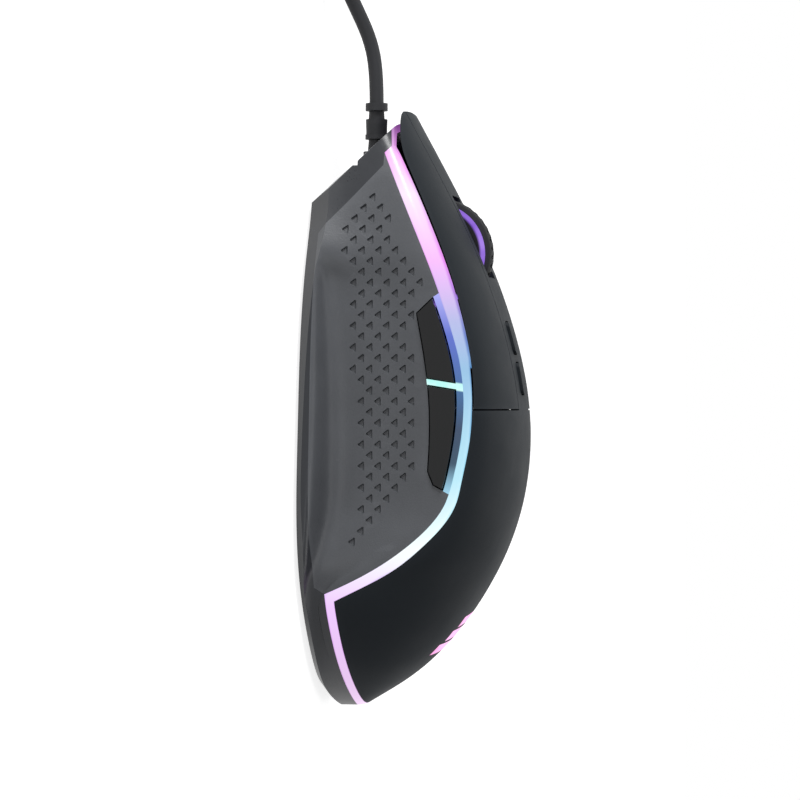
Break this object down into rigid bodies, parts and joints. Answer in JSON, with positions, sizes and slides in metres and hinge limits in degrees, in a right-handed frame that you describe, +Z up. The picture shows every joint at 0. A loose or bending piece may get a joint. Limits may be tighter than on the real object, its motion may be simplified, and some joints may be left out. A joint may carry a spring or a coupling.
{
  "type": "computer mouse",
  "caption": "Wired right-handed gaming mouse with flexing main buttons, scroll wheel, two thumb buttons, a lit side strip, and a coiled lead ending in a plug.",
  "frame": {"origin": "on the table, under the middle of the body's length and width", "axes": "+Z up, nose and lead towards -Y, thumb side towards +X"},
  "size_m": [0.0742, 0.2191, 0.0425],
  "materials": {
    "side_plastic": "fine-grained dark grey plastic",
    "soft_touch": "soft-touch near-black coating",
    "gloss_black": "glossy black",
    "light_guide": "milky light guide, lit in colours from within",
    "circuit_board": "solder mask",
    "component_plastic": "moulded component bodies",
    "plunger_plastic": "white acetal",
    "lens_clear": "clear moulding",
    "inner_plastic": "black acetal",
    "tyre_rubber": "fine ribbed rubber",
    "steel": "plated steel",
    "glide_plastic": "low-friction fluoropolymer",
    "cable_jacket": "satin cable jacket",
    "strap": "woven strap",
    "insulator": "white insulator"
  },
  "bodies": {
    "housing": {"base_shell": "side_plastic", "board_screws": "steel", "case_screw_1": "steel", "case_screw_2": "steel", "centre_spine": "gloss_black", "coil_tie": "strap", "controller_chip": "component_plastic", "dpi_down_switch": "component_plastic", "dpi_pcb": "circuit_board", "dpi_up_switch": "component_plastic", "front_glide": "glide_plastic", "front_thumb_switch": "component_plastic", "inner_lead": "cable_jacket", "lead_coil": "cable_jacket", "lead_header": "component_plastic", "lead_tail": "cable_jacket", "lead_tube": "cable_jacket", "left_main_switch": "component_plastic", "left_side_panel": "side_plastic", "light_strip": "light_guide", "main_pcb": "circuit_board", "palm_cover": "soft_touch", "palm_emblem": "light_guide", "rear_glide": "glide_plastic", "rear_thumb_switch": "component_plastic", "right_main_switch": "component_plastic", "right_side_panel": "side_plastic", "sensor_chip": "component_plastic", "sensor_lens": "lens_clear", "side_pcb": "circuit_board", "strain_relief": "cable_jacket", "strip_lamps": "lens_clear", "thumb_bezel": "light_guide", "usb_plug_grip": "cable_jacket", "usb_plug_insulator": "insulator", "usb_plug_shell": "steel", "wheel_bracket": "inner_plastic", "wheel_encoder": "component_plastic", "wheel_pivot_pin": "steel", "wheel_switch": "component_plastic"},
    "left_click": {"left_button": "soft_touch", "left_plunger": "plunger_plastic"},
    "right_click": {"right_button": "soft_touch", "right_plunger": "plunger_plastic"},
    "wheel_click": {"wheel_carrier": "inner_plastic", "wheel_plunger": "plunger_plastic"},
    "wheel": {"wheel_hub": "inner_plastic", "wheel_tyre": "tyre_rubber", "wheel_ring_left": "light_guide", "wheel_ring_right": "light_guide", "wheel_axle": "steel"},
    "front_thumb": {"front_thumb_button": "gloss_black"},
    "rear_thumb": {"rear_thumb_button": "gloss_black"},
    "dpi_up": {"dpi_up_button": "gloss_black"},
    "dpi_down": {"dpi_down_button": "gloss_black"}
  },
  "joints": [
    {"name": "left_button_hinge", "type": "hinge", "parent": "housing", "child": "left_click", "pos_m": [0, 0, 0.038], "axis": [1, 0, 0], "range_deg": [0, 0.5], "stiffness_Nm_per_rad": 1.5},
    {"name": "right_button_hinge", "type": "hinge", "parent": "housing", "child": "right_click", "pos_m": [0, 0, 0.038], "axis": [1, 0, 0], "range_deg": [0, 0.5], "stiffness_Nm_per_rad": 1.5},
    {"name": "wheel_press", "type": "hinge", "parent": "housing", "child": "wheel_click", "pos_m": [0, -0.0125, 0.017], "axis": [1, 0, 0], "range_deg": [0, 1.2], "stiffness_Nm_per_rad": 1.2},
    {"name": "wheel_spin", "type": "hinge", "parent": "wheel_click", "child": "wheel", "pos_m": [0, -0.0326, 0.02352], "axis": [1, 0, 0], "continuous": true},
    {"name": "front_thumb_press", "type": "slide", "parent": "housing", "child": "front_thumb", "axis": [-1, 0, 0], "range_m": [0, 0.0007], "stiffness_N_per_m": 1200},
    {"name": "rear_thumb_press", "type": "slide", "parent": "housing", "child": "rear_thumb", "axis": [-1, 0, 0], "range_m": [0, 0.0007], "stiffness_N_per_m": 1200},
    {"name": "dpi_up_press", "type": "slide", "parent": "housing", "child": "dpi_up", "axis": [0, 0, -1], "range_m": [0, 0.0005], "stiffness_N_per_m": 1200},
    {"name": "dpi_down_press", "type": "slide", "parent": "housing", "child": "dpi_down", "axis": [0, 0, -1], "range_m": [0, 0.0005], "stiffness_N_per_m": 1200}
  ]
}
